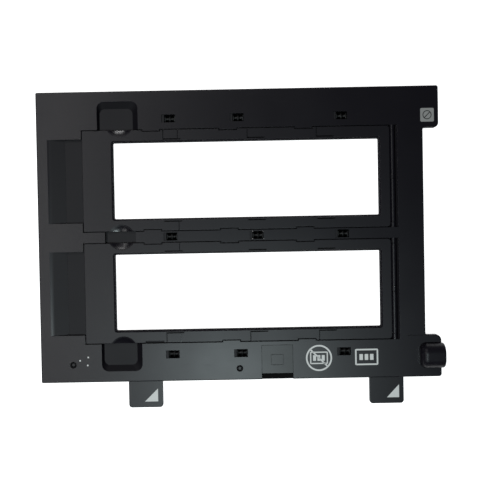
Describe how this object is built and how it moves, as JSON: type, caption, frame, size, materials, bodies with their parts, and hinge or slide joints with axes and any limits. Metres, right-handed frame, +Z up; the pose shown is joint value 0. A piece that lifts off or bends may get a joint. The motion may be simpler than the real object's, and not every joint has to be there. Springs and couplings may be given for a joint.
{
  "type": "roll film holder for a flatbed scanner",
  "caption": "Flat black plastic film holder with hinged window lids that press strips of roll film over open gates, resting on height feet on a scanner's glass.",
  "frame": {"origin": "middle of the footprint, on the glass under the height feet", "axes": "+X along the film strips towards the hinges and the corner grip, +Y away from the user, +Z up from the glass"},
  "size_m": [0.2982, 0.2348, 0.014],
  "materials": {
    "black_plastic": "satin moulded",
    "lid_plastic": "satin moulded",
    "slide_plastic": "satin moulded",
    "grip_plastic": "polished moulded",
    "foot_plastic": "satin moulded",
    "pin_plastic": "satin moulded",
    "label_film": "matte printed film",
    "rod_steel": "drawn wire"
  },
  "bodies": {
    "holder_base": {"base_frame": "black_plastic", "upper_hinge_rod": "rod_steel", "lower_hinge_rod": "rod_steel", "height_foot_1": "foot_plastic", "height_foot_2": "foot_plastic", "height_foot_3": "foot_plastic", "height_foot_4": "foot_plastic", "height_foot_5": "foot_plastic", "height_foot_6": "foot_plastic", "height_foot_7": "foot_plastic", "height_foot_8": "foot_plastic", "height_foot_9": "foot_plastic", "corner_grip": "grip_plastic", "corner_label": "label_film", "left_locating_pin": "pin_plastic", "centre_locating_pin": "pin_plastic"},
    "upper_lid_body": {"upper_lid": "lid_plastic"},
    "lower_lid_body": {"lower_lid": "lid_plastic"},
    "edge_slide_body": {"edge_slide": "slide_plastic"}
  },
  "joints": [
    {"name": "upper_lid_hinge", "type": "hinge", "parent": "holder_base", "child": "upper_lid_body", "pos_m": [0.11355, 0.0513, 0.0041], "axis": [0, 1, 0], "range_deg": [0, 105]},
    {"name": "lower_lid_hinge", "type": "hinge", "parent": "holder_base", "child": "lower_lid_body", "pos_m": [0.11355, -0.0318, 0.0041], "axis": [0, 1, 0], "range_deg": [0, 105]},
    {"name": "edge_slide_travel", "type": "slide", "parent": "holder_base", "child": "edge_slide_body", "axis": [0, -1, 0], "range_m": [0, 0.0042]}
  ]
}
